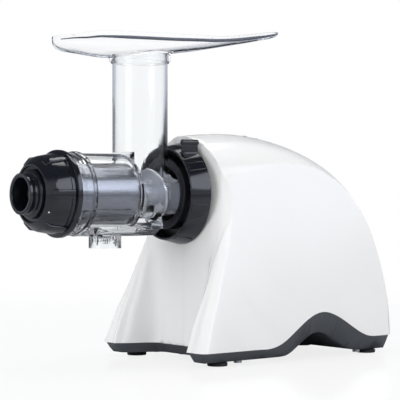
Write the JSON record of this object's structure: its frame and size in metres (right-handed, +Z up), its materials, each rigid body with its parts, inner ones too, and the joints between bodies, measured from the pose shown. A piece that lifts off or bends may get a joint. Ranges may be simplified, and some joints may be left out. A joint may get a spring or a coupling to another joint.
{
  "type": "cold press juicer",
  "caption": "Horizontal cold press juicer: arched white motor housing, clear pressing drum with screw, feed tube and oval tray, black cap, nozzle and locking ring.",
  "frame": {"origin": "centre of the bounding box at the foot plane, under the front of the housing", "axes": "+X along the screw's axis, from the nozzle to the back of the housing; +Z up; +Y across the machine, by the right-hand rule"},
  "size_m": [0.4044, 0.1684, 0.3205],
  "materials": {
    "white_housing": "gloss",
    "dark_base": "satin",
    "foot_rubber": "matt",
    "screw_steel": "satin",
    "clear_drum": "polished clear",
    "clear_tray": "polished clear",
    "smoky_screen": "gloss",
    "screw_olive": "satin",
    "black_gloss": "gloss",
    "black_satin": "satin",
    "seal_rubber": "matt",
    "plate_metal": "satin",
    "shaft_steel": "ground",
    "gear_nylon": "satin",
    "gear_steel": "satin",
    "bush_bronze": "satin",
    "motor_case": "satin",
    "lamination": "matt",
    "copper_wire": "gloss",
    "fan_plastic": "satin",
    "board_green": "satin",
    "capacitor_sleeve": "satin"
  },
  "bodies": {
    "housing": {"housing_shell": "white_housing", "base_tray": "dark_base", "rubber_feet": "foot_rubber", "housing_screws": "screw_steel", "drum": "clear_drum", "juicing_screen": "smoky_screen", "shaft_seal": "seal_rubber", "drum_collar": "black_satin", "drum_socket": "black_satin", "front_plate": "plate_metal", "rear_plate": "plate_metal", "spacer_posts": "shaft_steel", "plate_bolts": "screw_steel", "socket_screws": "screw_steel", "output_bearings": "bush_bronze", "idler_bushes": "bush_bronze", "motor_front_bell": "motor_case", "motor_can": "motor_case", "motor_rear_bell": "motor_case", "motor_bushes": "bush_bronze", "stator": "lamination", "stator_windings": "copper_wire", "motor_screws": "screw_steel", "control_board": "board_green", "capacitor": "capacitor_sleeve", "switch_bezel": "white_housing", "mains_inlet": "black_satin"},
    "auger_train": {"auger": "screw_olive", "output_shaft": "shaft_steel", "output_gear": "gear_nylon"},
    "idler": {"idler_shaft": "shaft_steel", "idler_pinion": "gear_steel", "idler_gear": "gear_nylon"},
    "motor_rotor": {"motor_shaft": "shaft_steel", "rotor": "lamination", "motor_pinion": "gear_steel", "cooling_fan": "fan_plastic"},
    "locking_ring": {"locking_ring": "black_gloss"},
    "drum_cap": {"drum_cap": "black_gloss", "cap_seal": "seal_rubber"},
    "nozzle": {"nozzle": "black_gloss", "nozzle_seal": "seal_rubber"},
    "rocker_switch": {"rocker_switch": "black_satin"},
    "feed_tray": {"feed_tray": "clear_tray"}
  },
  "joints": [
    {"name": "auger_spin", "type": "hinge", "parent": "housing", "child": "auger_train", "pos_m": [-0.05, 0, 0.16], "axis": [1, 0, 0], "continuous": true},
    {"name": "idler_spin", "type": "hinge", "parent": "housing", "child": "idler", "pos_m": [0.015, 0.02393, 0.12189], "axis": [1, 0, 0], "continuous": true},
    {"name": "motor_spin", "type": "hinge", "parent": "housing", "child": "motor_rotor", "pos_m": [0.08, 0, 0.095], "axis": [1, 0, 0], "continuous": true},
    {"name": "ring_turn", "type": "hinge", "parent": "housing", "child": "locking_ring", "pos_m": [-0.034, 0, 0.16], "axis": [1, 0, 0], "range_deg": [-45, 0]},
    {"name": "cap_turn", "type": "hinge", "parent": "housing", "child": "drum_cap", "pos_m": [-0.17, 0, 0.16], "axis": [1, 0, 0], "range_deg": [0, 45]},
    {"name": "nozzle_turn", "type": "hinge", "parent": "drum_cap", "child": "nozzle", "pos_m": [-0.19, 0, 0.16], "axis": [1, 0, 0], "range_deg": [0, 150]},
    {"name": "rocker_tilt", "type": "hinge", "parent": "housing", "child": "rocker_switch", "pos_m": [0.05725, 0, 0.20985], "axis": [0, 1, 0], "range_deg": [-8, 8]},
    {"name": "tray_lift", "type": "slide", "parent": "housing", "child": "feed_tray", "axis": [0, 0, 1], "range_m": [0, 0.03]}
  ],
  "couplings": [
    {"joint": "idler_spin", "follows": "auger_spin", "ratio": -4},
    {"joint": "motor_spin", "follows": "auger_spin", "ratio": 20}
  ]
}
